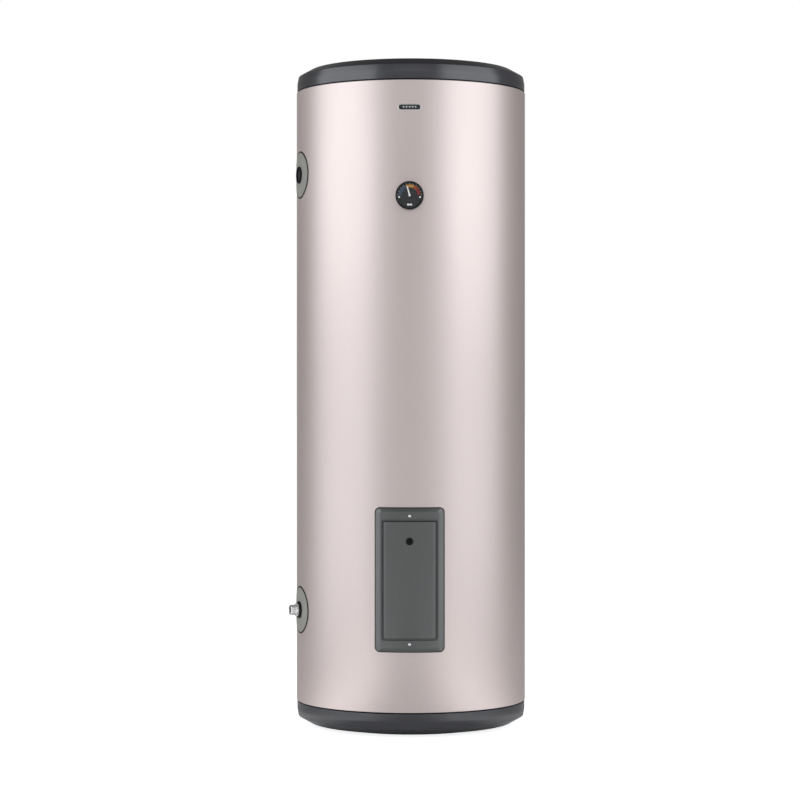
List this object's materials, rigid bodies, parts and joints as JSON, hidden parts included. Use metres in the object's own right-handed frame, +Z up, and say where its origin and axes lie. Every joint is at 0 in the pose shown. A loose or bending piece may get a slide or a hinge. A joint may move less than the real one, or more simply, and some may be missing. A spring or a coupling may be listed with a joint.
{
  "type": "tank water heater",
  "caption": "Tall floor-standing cylindrical electric storage water heater with dark end covers, side pipe ports, a dial thermometer and a screwed access cover.",
  "frame": {"origin": "on the floor, at the tank's vertical axis", "axes": "+Z up along the tank's axis, -Y the front with the access cover and thermometer, +X to the right seen from the front"},
  "size_m": [0.6168, 0.6656, 1.712],
  "materials": {
    "jacket_paint": "satin metallic champagne paint",
    "end_cover_plastic": "satin charcoal plastic",
    "access_cover_plastic": "fine-grained dark grey plastic",
    "escutcheon_plastic": "satin grey plastic",
    "black_rubber": "matte black rubber",
    "black_plastic": "semi-gloss black plastic",
    "clear_lens": "clear polished lens",
    "dial_paint": "satin dark grey printed disc",
    "pointer_paint": "white lacquer",
    "chrome_plate": "bright plating",
    "valve_brass": "machined brass",
    "zinc_steel": "bright zinc-plated steel",
    "stainless_steel": "drawn stainless steel",
    "tank_steel": "dark primer over welded steel, enamelled inside",
    "magnesium": "cast magnesium",
    "insulation": "rigid polyurethane foam",
    "terminal_plastic": "cream moulded plastic",
    "control_plastic": "light grey moulded plastic",
    "red_plastic": "red moulded plastic",
    "wire_insulation": "flexible sleeve",
    "steatite": "matte white ceramic",
    "badge_metal": "brushed"
  },
  "bodies": {
    "heater": {"access_cover": "access_cover_plastic", "access_cover_gasket": "black_rubber", "access_cover_screws": "zinc_steel", "anode_access_cap": "end_cover_plastic", "anode_plug": "valve_brass", "anode_rod": "magnesium", "base_cover": "end_cover_plastic", "base_pan": "zinc_steel", "cable_clamp": "zinc_steel", "cable_grommet": "black_rubber", "cold_inlet_nipple": "chrome_plate", "drain_valve_body": "valve_brass", "element_flange": "zinc_steel", "element_flange_bolts": "zinc_steel", "element_flange_neck": "tank_steel", "element_terminals": "steatite", "foot_ring": "black_plastic", "heating_elements": "stainless_steel", "inlet_diffuser_pipe": "stainless_steel", "insulation_foam": "insulation", "name_badge": "badge_metal", "outer_jacket": "jacket_paint", "outlet_riser_pipe": "stainless_steel", "port_escutcheons": "escutcheon_plastic", "port_grommets": "black_rubber", "relief_valve_body": "valve_brass", "relief_valve_bonnet": "valve_brass", "relief_valve_probe": "stainless_steel", "relief_valve_spring": "stainless_steel", "seam_rivets": "jacket_paint", "supply_wires": "wire_insulation", "tank_bottom_head": "tank_steel", "tank_legs": "tank_steel", "tank_seals": "black_rubber", "tank_shell": "tank_steel", "tank_sockets": "tank_steel", "tank_top_head": "tank_steel", "terminal_block": "terminal_plastic", "terminal_screws": "zinc_steel", "thermometer_bezel": "black_plastic", "thermometer_case": "black_plastic", "thermometer_dial": "dial_paint", "thermometer_lens": "clear_lens", "thermometer_pocket": "valve_brass", "thermometer_stem": "stainless_steel", "thermostat_body": "control_plastic", "thermostat_pocket": "stainless_steel", "top_cover": "end_cover_plastic", "wiring_compartment": "zinc_steel"},
    "pointer": {"thermometer_pointer": "pointer_paint", "thermometer_spindle": "stainless_steel"},
    "thermostat_knob": {"thermostat_dial": "black_plastic"},
    "reset_key": {"reset_button": "red_plastic"},
    "relief_stem": {"relief_valve_stem": "stainless_steel", "relief_lever_pin": "stainless_steel"},
    "relief_lever": {"relief_valve_lever": "zinc_steel"},
    "drain_handle": {"drain_valve_ball": "chrome_plate", "drain_valve_handle": "red_plastic", "drain_handle_screw": "zinc_steel"}
  },
  "joints": [
    {"name": "thermometer_swing", "type": "hinge", "parent": "heater", "child": "pointer", "pos_m": [0, -0.305, 1.363], "axis": [0, 1, 0], "range_deg": [-85, 120]},
    {"name": "thermostat_turn", "type": "hinge", "parent": "heater", "child": "thermostat_knob", "pos_m": [0, -0.298, 0.317], "axis": [0, 1, 0], "range_deg": [0, 270]},
    {"name": "reset_press", "type": "slide", "parent": "heater", "child": "reset_key", "axis": [0, 1, 0], "range_m": [0, 0.002], "stiffness_N_per_m": 300, "springref_m": -0.001},
    {"name": "relief_lift", "type": "slide", "parent": "heater", "child": "relief_stem", "axis": [-0.5736, 0.8192, 0], "range_m": [0, 0.004], "deforming": ["relief_valve_spring"]},
    {"name": "relief_lever_turn", "type": "hinge", "parent": "relief_stem", "child": "relief_lever", "pos_m": [-0.22278, 0.31816, 1.474], "axis": [0.8192, 0.5736, 0], "range_deg": [0, 80], "stiffness_Nm_per_rad": 0.02, "springref_deg": -17.19},
    {"name": "drain_turn", "type": "hinge", "parent": "heater", "child": "drain_handle", "pos_m": [-0.11287, 0.3101, 0.196], "axis": [0, 0, 1], "range_deg": [0, 90]}
  ],
  "couplings": [
    {"joint": "relief_lift", "follows": "relief_lever_turn", "m_per_rad": 0.0028}
  ]
}
